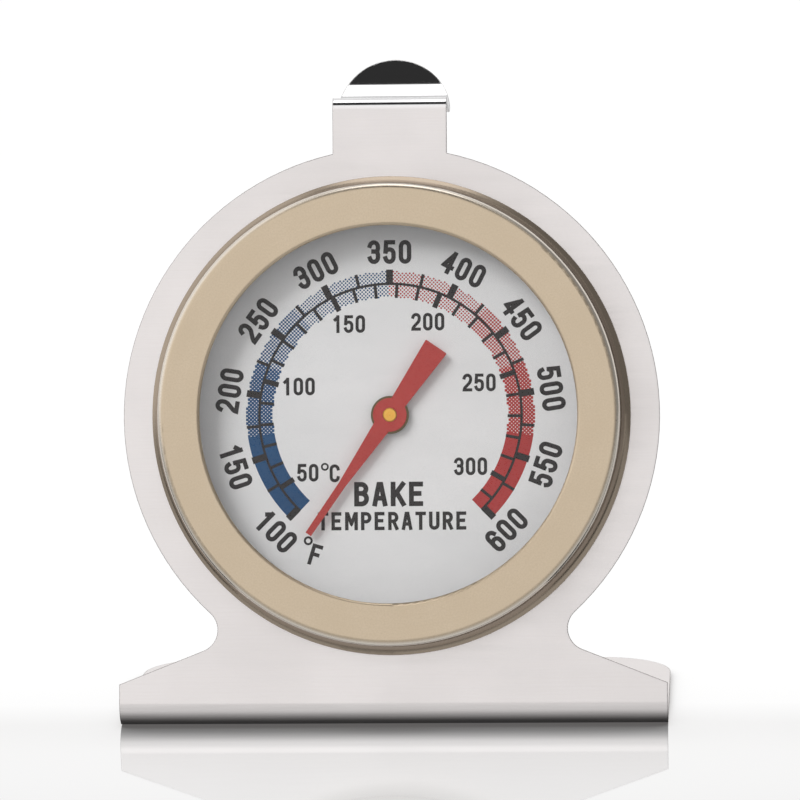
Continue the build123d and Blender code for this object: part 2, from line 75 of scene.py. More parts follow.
# The coloured band and the scale
BAND_INNER, BAND_OUTER = 13.1, 16.1
SCALE_RADIUS, SCALE_HALF_LINE = 14.65, 0.14
DEGREES_PER_F = 0.54    # dial degrees for one degree Fahrenheit
TOP_F = 350             # reading at the top of the dial
FIRST_F, LAST_F = 100, 600
END_MARGIN = 1.35       # dial degrees of band beyond the last mark

# Marks: (reach past the band's edge, width)
MINOR_MARK = (0.02, 0.34)
MAJOR_F_MARK = (0.14, 0.76)
MAJOR_C_MARK = (0.16, 0.58)

# Type: letter height and width, pitch from letter to letter, line thickness
F_FIGURES = dict(height=2.66, width=1.40, pitch=1.74, line=0.49)
C_FIGURES = dict(height=1.98, width=1.06, pitch=1.31, line=0.345)
C_UNIT = dict(height=2.0, width=1.12, pitch=1.30, line=0.345)
F_UNIT = dict(height=2.4, width=1.25, pitch=1.5, line=0.42)
UPPER_WORD = dict(height=2.72, width=1.66, pitch=2.04, line=0.54)
LOWER_WORD = dict(height=2.02, width=1.17, pitch=1.52, line=0.385)
WIDE_LETTERS = {"M": 1.22}   # width as a share of the usual

F_FIGURE_RADIUS = 18.2
UPSIDE_DOWN_FROM = 100       # Fahrenheit figures beyond this dial angle are turned over
# Celsius figures: (reading, x, y)
C_FIGURE_PLACES = (
    (50, -9.26, -6.37), (100, -10.27, 3.26), (150, -4.61, 10.19),
    (200, 4.24, 10.38), (250, 9.93, 3.56), (300, 8.92, -5.77),
)

# The band fades towards the top of the dial through a 45 degree screen of dots.
DOT_PITCH = 0.29
DOT_GAIN = 1.03
SCREEN_MARGIN = 0.06         # band edge left free of dot centres
SOLID_FROM = 98.5            # dial angle where the solid colour starts
# (dial angle from, to, share covered, corner cut as a share of the dot's half width)
SCREEN_STEPS = ((0.0, 42.0, 0.46, 0.62), (42.0, 68.0, 0.60, 0.35), (68.0, 99.0, 1.00, 0.10))

# Stroke corners
STRAIGHT_ENOUGH = math.radians(1.5)   # smaller turns get no mitre
MITRE_LIMIT = 1.55                    # longest mitre, in half widths


# ---------------------------------------------------------------- flat closed solids
def signed_area(polygon):
    following = polygon[1:] + polygon[:1]
    return 0.5 * sum(a[0] * b[1] - b[0] * a[1] for a, b in zip(polygon, following))


def united(polygons):
    """Points and triangles that cover every polygon, with no overlaps."""
    points, faces = [], []
    for polygon in polygons:
        if signed_area(polygon) < 0:
            polygon = polygon[::-1]
        faces.append(list(range(len(points), len(points) + len(polygon))))
        points += [Vector((x, y)) for x, y in polygon]
    inside, tolerance, need_ids = 1, 1e-5, True
    out = delaunay_2d_cdt(points, [], faces, inside, tolerance, need_ids)
    triangles = [face for face, origin in zip(out[2], out[5]) if len(origin)]
    return [(v.x, v.y) for v in out[0]], triangles


def extruded(batches, bottom, top, name):
    """A mesh of flat solids between two heights. Each batch of polygons is united by itself."""
    verts, faces = [], []
    for polygons in batches:
        points, triangles = united(polygons)
        used = sorted({i for triangle in triangles for i in triangle})
        index = {old: new for new, old in enumerate(used)}
        upper = len(verts)
        lower = upper + len(used)
        for height in (top, bottom):
            verts += [face_point(*points[i], height) for i in used]
        edges = {}   # a dict, so that the walls keep their order
        for triangle in triangles:
            corners = [index[i] for i in triangle]
            if signed_area([points[i] for i in triangle]) < 0:
                corners = corners[::-1]
            faces.append([upper + i for i in corners])
            faces.append([lower + i for i in corners[::-1]])
            for edge in zip(corners, corners[1:] + corners[:1]):
                edges[edge] = True
        for a, b in edges:
            if (b, a) not in edges:
                faces.append([lower + a, lower + b, upper + b, upper + a])
    mesh = bpy.data.meshes.new(name)
    mesh.from_pydata([tuple(v) for v in verts], [], faces)
    mesh.validate()
    mesh.update()
    return placed(name, mesh)


def placed(name, data):
    thing = bpy.data.objects.new(name, data)
    bpy.context.scene.collection.objects.link(thing)
    return thing


# ---------------------------------------------------------------- lines and lettering
def stroke(points, half, closed=False):
    """A line as polygons: a rectangle for each length, and a mitre outside each turn."""
    path = [np.array(point, float) for point in points]
    if not closed:
        start, end = path[0] - path[1], path[-1] - path[-2]
        path[0] = path[0] + start / np.linalg.norm(start) * half
        path[-1] = path[-1] + end / np.linalg.norm(end) * half
    lengths = list(zip(path, path[1:]))
    if closed:
        lengths.append((path[-1], path[0]))
    directions = [(b - a) / np.linalg.norm(b - a) for a, b in lengths]
    polygons = []
    for (a, b), along in zip(lengths, directions):
        across = np.array((-along[1], along[0])) * half
        polygons.append([tuple(p) for p in (a - across, b - across, b + across, a + across)])
    for i in range(0 if closed else 1, len(lengths)):
        before, after = directions[i - 1], directions[i]
        cross = before[0] * after[1] - before[1] * after[0]
        angle = math.atan2(cross, float(before @ after))
        if abs(angle) < STRAIGHT_ENOUGH:
            continue
        side = -1.0 if angle > 0 else 1.0
        first = side * np.array((-before[1], before[0]))
        last = side * np.array((-after[1], after[0]))
        middle = first + last
        middle = middle / np.linalg.norm(middle)
        reach = min(1.0 / max(math.cos(angle / 2), 1e-3), MITRE_LIMIT) * half
        at = lengths[i][0]
        outer = (at, at + first * half, at + middle * reach, at + last * half)
        polygons.append([tuple(p) for p in outer])
    return polygons


def arc(x, y, x_radius, y_radius, start, end, steps=9):
    """Points of an ellipse, from start to end in degrees anticlockwise from the right."""
    angles = [math.radians(start + (end - start) * i / steps) for i in range(steps + 1)]
    return [(x + x_radius * math.cos(a), y + y_radius * math.sin(a)) for a in angles]


ROUND_END = 0.225   # share of a letter's height that its round ends take


def top_end(start, end):
    return arc(0.5, 1 - ROUND_END, 0.5, ROUND_END, start, end)


def foot_end(start, end):
    return arc(0.5, ROUND_END, 0.5, ROUND_END, start, end)


# Centre lines of each letter, as (x, y) shares of its width and height. Only the 0 is closed.
GLYPHS = {
    "0": [top_end(0, 180) + foot_end(180, 360)],
    "1": [[(0.66, 0), (0.66, 1)], [(0.60, 0.96), (0.22, 0.80)]],
    "2": [top_end(170, 0)
          + [(0.98, 0.63), (0.86, 0.50), (0.20, 0.19), (0.04, 0.09), (0.0, 0.0), (1.0, 0.0)]],
    "3": [top_end(168, 0) + [(1.0, 0.68), (0.93, 0.58), (0.74, 0.53), (0.45, 0.53)],
          [(0.45, 0.53), (0.75, 0.52), (0.95, 0.46), (1.0, 0.37)] + foot_end(0, -168)],
    "4": [[(0.74, 0), (0.74, 1.0)], [(0.70, 0.97), (0.0, 0.27), (1.04, 0.27)]],
    "5": [[(0.94, 1.0), (0.10, 1.0), (0.03, 0.53)],
          [(0.10, 0.55)] + arc(0.5, 0.42, 0.5, 0.215, 125, 0, 8) + foot_end(0, -168)],
    "6": [top_end(12, 180) + foot_end(180, 360) + arc(0.5, 0.40, 0.5, 0.20, 0, 176, 8)],
    "C": [top_end(5, 180) + foot_end(180, 355)],
    "F": [[(0, 0), (0, 1), (0.95, 1)], [(0, 0.52), (0.78, 0.52)]],
    "A": [[(0.0, 0), (0.40, 1), (0.60, 1), (1.0, 0)], [(0.2, 0.29), (0.8, 0.29)]],
    "B": [[(0, 0), (0, 1)],
          [(0.0, 1), (0.5, 1)] + arc(0.5, 0.77, 0.44, 0.23, 80, -80, 7)
          + [(0.5, 0.54), (0.0, 0.54)],
          [(0.0, 0.54), (0.5, 0.54)] + arc(0.5, 0.27, 0.50, 0.27, 80, -80, 7)
          + [(0.5, 0.0), (0.0, 0.0)]],
    "E": [[(0.92, 1), (0, 1), (0, 0), (0.92, 0)], [(0, 0.52), (0.76, 0.52)]],
    "K": [[(0, 0), (0, 1)], [(0.96, 1), (0.06, 0.38)], [(0.34, 0.60), (1.0, 0.0)]],
    "M": [[(0, 0), (0, 1), (0.10, 1), (0.5, 0.30), (0.90, 1), (1, 1), (1, 0)]],
    "P": [[(0, 0), (0, 1)],
          [(0.0, 1), (0.5, 1)] + arc(0.5, 0.73, 0.5, 0.27, 80, -80, 8)
          + [(0.5, 0.46), (0.0, 0.46)]],
    "R": [[(0, 0), (0, 1)],
          [(0.0, 1), (0.5, 1)] + arc(0.5, 0.74, 0.46, 0.26, 80, -80, 8)
          + [(0.5, 0.48), (0.0, 0.48)],
          [(0.52, 0.48), (0.96, 0.0)]],
    "T": [[(0.0, 1), (1.0, 1)], [(0.5, 1), (0.5, 0)]],
    "U": [[(0, 1)] + foot_end(180, 360) + [(1, 1)]],
}


def lettering(string, centre_x, centre_y, height, width, pitch, line, tilt=0.0):
    """A batch of polygons for each letter of a centred line, tilted clockwise in degrees."""
    widths = [width * WIDE_LETTERS.get(letter, 1.0) for letter in string]
    gap = pitch - width
    left = -(sum(widths) + gap * (len(string) - 1)) / 2
    cos, sin = math.cos(math.radians(-tilt)), math.sin(math.radians(-tilt))
    half = line / 2
    batches = []
    for letter, letter_width in zip(string, widths):
        polygons = []
        for path in GLYPHS[letter]:
            points = [(left + half + x * (letter_width - line),
                       -height / 2 + half + y * (height - line)) for x, y in path]
            polygons += stroke(points, half, closed=letter == "0")
        batches.append([[(centre_x + x * cos - y * sin, centre_y + x * sin + y * cos)
                         for x, y in polygon] for polygon in polygons])
        left += letter_width + gap
    return batches


def degree_sign(x, y, radius, line, sides=28):
    angles = [2 * math.pi * i / sides for i in range(sides)]
    points = [(x + radius * math.cos(a), y + radius * math.sin(a)) for a in angles]
    return stroke(points, line / 2, closed=True)


# ---------------------------------------------------------------- the dial's print
def polar(radius, angle):
    """A point at an angle in degrees clockwise from the top of the dial."""
    return radius * math.sin(math.radians(angle)), radius * math.cos(math.radians(angle))


def sector(inner, outer, start, end):
    """Part of a ring between two angles, in quads of at most one degree."""
    steps = math.ceil(end - start)
    angles = [start + (end - start) * i / steps for i in range(steps + 1)]
    return [[polar(inner, a), polar(inner, b), polar(outer, b), polar(outer, a)]
            for a, b in zip(angles, angles[1:])]


def mark(inner, outer, angle, width):
    """A radial rectangle across the scale."""
    cos, sin = math.cos(math.radians(angle)), math.sin(math.radians(angle))
    half = width / 2
    corners = ((-half, inner), (half, inner), (half, outer), (-half, outer))
    return [(x * cos + radius * sin, -x * sin + radius * cos) for x, radius in corners]


def angle_f(reading):
    return (reading - TOP_F) * DEGREES_PER_F


def angle_c(reading):
    return angle_f(1.8 * reading + 32)


BAND_END = angle_f(LAST_F) + END_MARGIN


def scale_print():
    """The scale line with Fahrenheit marks outwards and Celsius marks inwards, as one batch."""
    scale = sector(SCALE_RADIUS - SCALE_HALF_LINE, SCALE_RADIUS + SCALE_HALF_LINE,
                   -BAND_END, BAND_END)
    for reading in range(FIRST_F, LAST_F + 1, 25):
        past, width = MINOR_MARK if reading % 50 else MAJOR_F_MARK
        scale.append(mark(SCALE_RADIUS, BAND_OUTER + past, angle_f(reading), width))
    for reading in range(50, 311, 10):
        past, width = MINOR_MARK if reading % 50 else MAJOR_C_MARK
        scale.append(mark(BAND_INNER - past, SCALE_RADIUS, angle_c(reading), width))
    return scale


def black_print():
    black = [scale_print()]
    for reading in range(FIRST_F, LAST_F + 1, 50):
        angle = angle_f(reading)
        tilt = angle + (180 if abs(angle) > UPSIDE_DOWN_FROM else 0)
        black += lettering(str(reading), *polar(F_FIGURE_RADIUS, angle), **F_FIGURES, tilt=tilt)
    for reading, x, y in C_FIGURE_PLACES:
        black += lettering(str(reading), x, y, **C_FIGURES)
    black.append(degree_sign(-7.35, -5.72, radius=0.34, line=0.20))
    black += lettering("C", -6.26, -6.45, **C_UNIT)
    black.append(degree_sign(-9.25, -13.95, radius=0.38, line=0.24))
    black += lettering("F", -8.45, -15.55, **F_UNIT, tilt=17)
    black += lettering("BAKE", -0.2, -8.8, **UPPER_WORD)
    black += lettering("TEMPERATURE", 0.15, -11.8, **LOWER_WORD)
    return black


def screen(start, end, share, clipped):
    """Eight-sided dots over the band between two angles."""
    step = DOT_PITCH / math.sqrt(2)
    half = 0.5 * DOT_PITCH * math.sqrt(share) * DOT_GAIN
    cut = half * clipped
    reach = int(BAND_OUTER / step) + 2
    dots = []
    for i in range(-reach, reach + 1):
        for j in range(-reach, reach + 1):
            if (i + j) % 2:
                continue
            x, y = i * step, j * step
            if not BAND_INNER + SCREEN_MARGIN < math.hypot(x, y) < BAND_OUTER - SCREEN_MARGIN:
                continue
            if start <= math.degrees(math.atan2(x, y)) < end:
                dots.append([
                    (x + half, y - half + cut), (x + half, y + half - cut),
                    (x + half - cut, y + half), (x - half + cut, y + half),
                    (x - half, y + half - cut), (x - half, y - half + cut),
                    (x - half + cut, y - half), (x + half - cut, y - half)])
    return dots


def build_print():
    """Black figures and scale, a blue band on the left and a red band on the right."""
    blue = sector(BAND_INNER, BAND_OUTER, -BAND_END, -SOLID_FROM)
    red = sector(BAND_INNER, BAND_OUTER, SOLID_FROM, BAND_END)
    for start, end, share, clipped in SCREEN_STEPS:
        blue += screen(-end, -start, share, clipped)
        red += screen(start, end, share, clipped)
    inks = (
        extruded(black_print(), INK_BASE, BLACK_TOP, "dial_print_black"),
        extruded([blue], INK_BASE, COLOUR_TOP, "dial_print_blue"),
        extruded([red], INK_BASE, COLOUR_TOP, "dial_print_red"),
    )
    for ink in inks:
        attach(ink, "housing")
    return inks


# ---------------------------------------------------------------- shader helpers
def srgb(rgb):
    """Linear RGBA from 0-255 display values."""
    def linear(c):
        c /= 255.0
        return c / 12.92 if c <= 0.04045 else ((c + 0.055) / 1.055) ** 2.4
    return (*map(linear, rgb), 1.0)


class Graph:
    """The node tree of a material or world. Any input takes a constant or another's output."""
    ramp_kind = "LINEAR"

    def __init__(self, owner, output):
        owner.use_nodes = True
        self.tree = owner.node_tree
        self.tree.nodes.clear()
        self.output = self.node(output)

    def put(self, socket, value):
        if isinstance(value, bpy.types.NodeSocket):
            self.tree.links.new(value, socket)
        else:
            socket.default_value = value

    def node(self, kind, **inputs):
        node = self.tree.nodes.new(kind)
        for name, value in inputs.items():
            self.put(node.inputs[name.replace("_", " ")], value)
        return node

    def surface(self, shader):
        self.put(self.output.inputs["Surface"], shader)

    def ramp(self, value, over, to=(0, 1)):
        """Carries the range `over` to the range `to`, held at both ends."""
        node = self.node("ShaderNodeMapRange", Value=value, From_Min=over[0], From_Max=over[1],
                         To_Min=to[0], To_Max=to[1])
        node.interpolation_type = self.ramp_kind
        node.clamp = True
        return node.outputs["Result"]

    def math(self, operation, a, b=0.0):
        node = self.node("ShaderNodeMath")
        node.operation = operation
        self.put(node.inputs[0], a)
        self.put(node.inputs[1], b)
        return node.outputs[0]

    def add(self, a, b):
        return self.math("ADD", a, b)

    def times(self, value, by):
        return self.math("MULTIPLY", value, by)

    def separate(self, vector):
        return self.node("ShaderNodeSeparateXYZ", Vector=vector).outputs

    def mix_shader(self, factor, at_0, at_1):
        node = self.node("ShaderNodeMixShader")
        for socket, value in zip(node.inputs, (factor, at_0, at_1)):
            self.put(socket, value)
        return node.outputs[0]

    def is_camera_ray(self):
        return self.node("ShaderNodeLightPath").outputs["Is Camera Ray"]


class Look(Graph):
    """A material. Noise frequencies are per metre, in object coordinates."""

    def __init__(self, name):
        self.material = bpy.data.materials.new(name + "_look")
        super().__init__(self.material, "ShaderNodeOutputMaterial")
        self.place = self.node("ShaderNodeTexCoord").outputs["Object"]

    def noise(self, vector, detail, rough):
        return self.node("ShaderNodeTexNoise", Vector=vector, Scale=1.0, Detail=detail,
                         Roughness=rough).outputs["Fac"]

    def grain(self, frequencies, detail, rough):
        mapping = self.node("ShaderNodeMapping", Vector=self.place, Scale=frequencies)
        return self.noise(mapping.outputs["Vector"], detail, rough)

    def speckle(self, frequency, detail, rough):
        return self.grain((frequency,) * 3, detail, rough)

    def mix(self, factor, at_0, at_1):
        """A colour between two colours."""
        node = self.node("ShaderNodeMix")
        node.data_type = "RGBA"
        for socket, value in zip((0, 6, 7), (factor, at_0, at_1)):
            self.put(node.inputs[socket], value)
        return node.outputs[2]

    def mix_value(self, factor, at_0, at_1):
        node = self.node("ShaderNodeMix")
        node.data_type = "FLOAT"
        for socket, value in zip((0, 2, 3), (factor, at_0, at_1)):
            self.put(node.inputs[socket], value)
        return node.outputs[0]

    def bump(self, height, strength, **under):
        return self.node("ShaderNodeBump", Distance=2.5e-6, Strength=strength, Height=height,
                         **under).outputs["Normal"]

    def vector_math(self, operation, a, b):
        node = self.node("ShaderNodeVectorMath")
        node.operation = operation
        self.put(node.inputs[0], a)
        self.put(node.inputs[1], b)
        return node.outputs["Value" if operation == "DOT_PRODUCT" else "Vector"]

    def along_face(self, *axes):
        """Distances in mm from the pointer's axis point along the given axes."""
        offset = self.vector_math("SUBTRACT", self.place, AXIS_POINT)
        return [self.vector_math("DOT_PRODUCT", offset, axis * 1000) for axis in axes]

    def cylindrical(self):
        """Radius and height in mm, and the angle in radians, about the pointer's axis."""
        x, y, height = self.along_face(RIGHT, UP, OUT)
        squares = self.add(self.times(x, by=x), self.times(y, by=y))
        return self.math("SQRT", squares), height, self.math("ARCTAN2", x, y)

    def spun(self, radius, height, angle, per_mm, per_radian, rough):
        """Noise drawn out into rings about the pointer's axis."""
        vector = self.node("ShaderNodeCombineXYZ", X=self.times(radius, by=per_mm),
                           Y=self.times(height, by=per_mm), Z=self.times(angle, by=per_radian))
        return self.noise(vector.outputs[0], detail=3, rough=rough)

    def rounded(self, size):
        """A normal that rounds sharp edges over this many metres."""
        node = self.node("ShaderNodeBevel", Radius=size)
        node.samples = 6
        return node.outputs["Normal"]

    def principled(self, **inputs):
        self.surface(self.node("ShaderNodeBsdfPrincipled", **inputs).outputs["BSDF"])


# ---------------------------------------------------------------- materials
POLISHED = (0.86, 0.86, 0.87, 1)
SHEARED_EDGE = srgb((92, 84, 80))


def sheet_metal(name, light, dark, rough, grain=(150, 5200, 5200), mottle=0.25, edge=7e-5,
                polished_above=None, sheared=0.0):
    """Rolled or brushed metal: streaks along the grain, a soft mottle, and fine pits."""
    light, dark = srgb(light), srgb(dark)
    look = Look(name)
    fine = look.grain(grain, detail=4, rough=0.6)
    long = look.grain(tuple(g * 0.22 for g in grain), detail=3, rough=0.55)
    cloud = look.speckle(95, detail=3, rough=0.5)
    pits = look.speckle(4200, detail=2, rough=0.6)
    streak = look.add(look.times(fine, by=0.6), look.times(long, by=0.4))
    tone = look.mix(look.ramp(streak, over=(0.36, 0.64)), dark, light)
    tone = look.mix(look.ramp(cloud, over=(0.35, 0.65), to=(0, mottle)), tone, dark)
    roughness = look.add(look.ramp(streak, over=(0.3, 0.7), to=(rough - 0.05, rough + 0.05)),
                         look.ramp(cloud, over=(0.3, 0.7), to=(-0.02, 0.03)))
    height = look.add(streak, look.times(pits, by=0.35))
    turned_over = look.rounded(edge)
    brushed = 0.12   # bump strength
    normal = look.bump(height, strength=brushed, Normal=turned_over)
    if polished_above is not None:   # the brushing doesn't reach the folded hook
        [up] = look.along_face(UP)
        hook = look.ramp(up, over=(polished_above, polished_above + 0.5))
        roughness = look.mix_value(hook, at_0=roughness, at_1=0.07)
        tone = look.mix(hook, tone, POLISHED)
        strength = look.mix_value(hook, at_0=brushed, at_1=0.02)
        look.put(normal.node.inputs["Strength"], strength)
    if sheared:   # blanked edges are duller and darker than the faces
        true = look.node("ShaderNodeNewGeometry").outputs["True Normal"]
        flat = look.vector_math("DOT_PRODUCT", true, turned_over)
        worn = look.times(look.ramp(flat, over=(0.80, 0.985), to=(1, 0)), by=sheared)
        tone = look.mix(worn, tone, SHEARED_EDGE)
    look.principled(Base_Color=tone, Metallic=1.0, Roughness=roughness, Normal=normal)
    return look.material


def turned_metal(name, light, dark, rough, rim_radius=None, rim=None):
    """Metal turned or spun about the pointer's axis: fine rings, with a soft mottle."""
    light, dark = srgb(light), srgb(dark)
    look = Look(name)
    radius, height, angle = look.cylindrical()
    rings = look.spun(radius, height, angle, per_mm=5.2, per_radian=0.8, rough=0.6)
    cloud = look.speckle(260, detail=3, rough=0.5)
    tone = look.mix(look.ramp(rings, over=(0.36, 0.64), to=(0, 0.8)), dark, light)
    tone = look.mix(look.ramp(cloud, over=(0.35, 0.65), to=(0, 0.25)), tone, dark)
    if rim is not None:   # painted shade: the flange outside this radius is darkened as shade under the pointer
        flange = look.ramp(radius, over=(rim_radius, rim_radius + 0.25))
        tone = look.mix(flange, tone, srgb(rim))
    look.principled(
        Base_Color=tone, Metallic=1.0,
        Roughness=look.ramp(rings, over=(0.3, 0.7), to=(rough - 0.05, rough + 0.06)),
        Normal=look.bump(rings, strength=0.12, Normal=look.rounded(4e-5)))
    return look.material


def bezel_metal():
    """Satin champagne steel: an even grain on the face, smoother on the rolled rim."""
    light, dark = srgb((224, 207, 183)), srgb((209, 191, 165))
    # The skirt colour is painted shade where the bezel meets the sheet.
    lip, skirt_shade = srgb((236, 229, 219)), srgb((160, 147, 133))
    look = Look("bezel_steel")
    radius, height, angle = look.cylindrical()
    speck = look.speckle(5200, detail=3, rough=0.62)
    cloud = look.speckle(230, detail=4, rough=0.55)
    rings = look.spun(radius, height, angle, per_mm=5.5, per_radian=1.2, rough=0.55)
    tone = look.mix(look.ramp(speck, over=(0.30, 0.70)), dark, light)
    tone = look.mix(look.ramp(cloud, over=(0.36, 0.64), to=(0, 0.30)), tone, dark)
    tone = look.mix(look.ramp(rings, over=(0.36, 0.64), to=(0, 0.22)), tone, dark)
    wall = look.ramp(radius, over=(25.15, 25.45))
    satin = look.ramp(speck, over=(0.3, 0.7), to=(0.30, 0.42))
    below_lip = look.ramp(height, over=(4.4, 5.2), to=(1, 0))   # painted shade: the skirt below the lip is darker where it meets the sheet
    tone = look.mix(look.times(wall, by=0.85), tone, look.mix(below_lip, lip, skirt_shade))
    relief = look.add(look.times(speck, by=0.6), look.times(rings, by=0.4))
    look.principled(
        Base_Color=tone, Metallic=1.0, Roughness=look.mix_value(wall, at_0=satin, at_1=0.21),
        Normal=look.bump(relief, strength=0.10, Normal=look.rounded(5e-5)))
    return look.material


def paint(name, colour, other, rough, coat=0.0, grain=3600, sheen=0.35):
    """Baked or printed paint: fine orange peel, with slight changes of tone."""
    colour, other = srgb(colour), srgb(other)
    look = Look(name)
    speck = look.speckle(grain, detail=3, rough=0.6)
    cloud = look.speckle(140, detail=3, rough=0.5)
    speck_share = look.times(look.ramp(speck, over=(0.32, 0.68)), by=0.55)
    tone = look.mix(speck_share, colour, other)
    tone = look.mix(look.ramp(cloud, over=(0.35, 0.65), to=(0, 0.35)), tone, other)
    look.principled(
        Base_Color=tone,
        Roughness=look.ramp(speck, over=(0.3, 0.7), to=(rough - 0.06, rough + 0.06)),
        Normal=look.bump(look.add(speck, look.times(cloud, by=0.6)), strength=0.16),
        Specular_IOR_Level=sheen, Coat_Weight=coat, Coat_Roughness=0.2)
    return look.material


def glass():
    """The flat pane: clear, with weak reflections and a trace of handling haze."""
    look = Look("clear_glass")
    clean, hazed = (0.990, 0.990, 0.990, 1), (0.966, 0.968, 0.968, 1)
    smear = look.grain((70, 260, 260), detail=4, rough=0.55)
    tint = look.mix(look.ramp(smear, over=(0.35, 0.70)), clean, hazed)
    clear = look.node("ShaderNodeBsdfTransparent", Color=tint)
    shine = look.node("ShaderNodeBsdfGlossy",
                      Roughness=look.ramp(smear, over=(0.3, 0.7), to=(0.03, 0.10)))
    fresnel = look.node("ShaderNodeFresnel", IOR=1.45).outputs[0]
    look.surface(look.mix_shader(look.times(fresnel, by=0.55), clear.outputs[0],
                                 shine.outputs[0]))
    return look.material


def small_steel(name, dark, rough):
    """Steel of the rivets and the post, with a grain that is even all ways."""
    return sheet_metal(name, (192, 190, 188), dark, rough, grain=(1500, 1500, 1500))


def bush_brass(name):
    return turned_metal(name, (224, 182, 106), (186, 142, 72), rough=0.28)


def apply_looks(inks):
    looks = {
        "frame_plate": sheet_metal("stainless_sheet", (249, 245, 244), (242, 237, 236), rough=0.37,
                                   polished_above=34.3, edge=1.8e-4, sheared=1.0),
        "bezel_ring": bezel_metal(),
        "case_cup": turned_metal("case_steel", (206, 202, 198), (176, 171, 167), rough=0.34),
        "bridge": sheet_metal("bridge_steel", (200, 198, 196), (168, 165, 163), rough=0.36,
                              grain=(140, 4200, 4200)),
        "retaining_ring": sheet_metal("spring_steel", (188, 186, 184), (142, 139, 137),
                                      rough=0.30, grain=(900, 900, 5200)),
        "spacer_ring": turned_metal("spacer_aluminium", (206, 207, 208), (182, 183, 185),
                                    rough=0.42),
        "dial_plate": paint("dial_white", (240, 239, 239), (230, 230, 230), rough=0.46,
                            grain=4800, sheen=0.3),
        "lens": glass(),
        "pointer": paint("pointer_red", (190, 58, 51), (166, 45, 42), rough=0.42, coat=0.15),
        # The boss's darker flange colour is painted shade under the pointer.
        "pointer_boss": turned_metal("boss_brass", (255, 206, 104), (248, 184, 78), rough=0.34,
                                     rim_radius=0.95, rim=(104, 92, 66)),
        "coil_collar": turned_metal("collar_brass", (226, 184, 108), (190, 146, 74), rough=0.30),
        "front_bush": bush_brass("front_bush_brass"),
        "rear_bush": bush_brass("rear_bush_brass"),
        "spindle": turned_metal("spindle_steel", (204, 203, 202), (168, 167, 166), rough=0.22),
        "thrust_washers": turned_metal("washer_steel", (196, 194, 192), (158, 156, 154),
                                       rough=0.28),
        "bimetal_coil": sheet_metal("bimetal", (206, 190, 170), (164, 142, 120), rough=0.34,
                                    grain=(900, 5200, 900), mottle=0.5),
        "coil_rivet": small_steel("coil_rivet", (150, 148, 146), rough=0.34),
        "anchor_post": small_steel("anchor_post", (150, 148, 146), rough=0.36),
        "bridge_rivets": small_steel("bridge_rivets", (148, 146, 144), rough=0.34),
    }
    for node, material in looks.items():
        for slot in NODES[node].material_slots:
            slot.material = material
    # (name, colour, second tone, roughness)
    ink_paints = (
        ("ink_black", (50, 46, 46), (38, 35, 36), 0.5),
        ("ink_blue", (34, 83, 128), (26, 68, 110), 0.48),
        ("ink_red", (184, 62, 60), (164, 48, 49), 0.48),
    )
    for ink, spec in zip(inks, ink_paints):
        ink.data.materials.append(paint(*spec, sheen=0.2))


# ---------------------------------------------------------------- floor
FLOOR_HALF = 2.5
FLOOR_Z = -2e-5


def floor_look():
    """White acrylic: to the camera it glows and mirrors, most of all close in front.

    Other rays see a glowing table with painted shade: dim in front, darkest at the sheet as a painted
    contact shadow, and pale behind.
    """
    look = Look("floor")
    x, y = look.separate(look.place)[:2]
    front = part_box("frame_plate")[0].y

    # How much the floor mirrors, from front to back
    near = look.ramp(y, over=(front - 0.055, front - 0.001))
    near = look.math("POWER", near, b=1.5)
    share = look.mix_value(near, at_0=0.18, at_1=0.72)
    behind = look.ramp(y, over=(front + 0.002, front + 0.012))
    share = look.mix_value(behind, at_0=share, at_1=0.25)
    # The patch, where the floor mirrors more and its glow carries painted shade, is only near the
    # object and seen from the front; elsewhere is plain.
    patch = look.ramp(look.math("ABSOLUTE", x), over=(0.050, 0.110), to=(1, 0))
    incoming = look.node("ShaderNodeNewGeometry").outputs["Incoming"]
    from_front = look.ramp(look.separate(incoming)[1], over=(-0.75, -0.25), to=(1, 0))
    patch = look.times(patch, by=from_front)
    patch = look.times(patch, by=look.ramp(y, over=(front - 0.170, front - 0.080)))
    share = look.mix_value(patch, at_0=0.20, at_1=share)

    # What the camera sees: a glow with painted shade, a contact shadow where ambient occlusion finds
    # the object close, and a falloff that darkens towards the front
    shaded, white = (0.36, 0.345, 0.34, 1), (1.0, 1.0, 1.0, 1)
    occlusion = look.node("ShaderNodeAmbientOcclusion", Distance=0.010)
    occlusion.samples = 8
    lit = look.ramp(occlusion.outputs["AO"], over=(0.42, 0.95))
    # painted shade: the glow dims towards the front and lifts a little behind
    level = look.add(look.ramp(y, over=(front - 0.060, front - 0.012), to=(0.84, 1)),
                     look.ramp(y, over=(front, front + 0.030), to=(0, 0.07)))
    glow = look.node("ShaderNodeEmission", Color=look.mix(lit, shaded, white),
                     Strength=look.mix_value(patch, at_0=1.04, at_1=level))
    haze = look.speckle(30, detail=2, rough=0.5)
    mirror = look.node("ShaderNodeBsdfGlossy", Color=white,
                       Roughness=look.ramp(haze, over=(0.3, 0.7), to=(0.03, 0.045)))
    seen = look.mix_shader(share, glow.outputs[0], mirror.outputs[0])

    # What every other ray sees: a glowing table with painted shade, dimmer in front and nearly black
    # at the sheet as a painted contact shadow
    # painted contact shadow: the table darkens towards the sheet
    contact = look.ramp(y, over=(front - 0.0030, front + 0.0008), to=(1, 0.04))
    ahead = look.times(contact,
                       by=look.ramp(y, over=(front - 0.030, front - 0.003), to=(0.50, 0.64)))
    pale = look.ramp(y, over=(front + 0.006, front + 0.030), to=(0, 0.62))
    table = look.node("ShaderNodeEmission", Strength=look.add(ahead, pale))
    look.surface(look.mix_shader(look.is_camera_ray(), table.outputs[0], seen))
    return look.material


def build_floor():
    mesh = bpy.data.meshes.new("floor")
    corners = ((-1, -1), (1, -1), (1, 1), (-1, 1))
    mesh.from_pydata([(x * FLOOR_HALF, y * FLOOR_HALF, FLOOR_Z) for x, y in corners],
                     [], [(0, 1, 2, 3)])
    placed("floor", mesh)
    mesh.materials.append(floor_look())


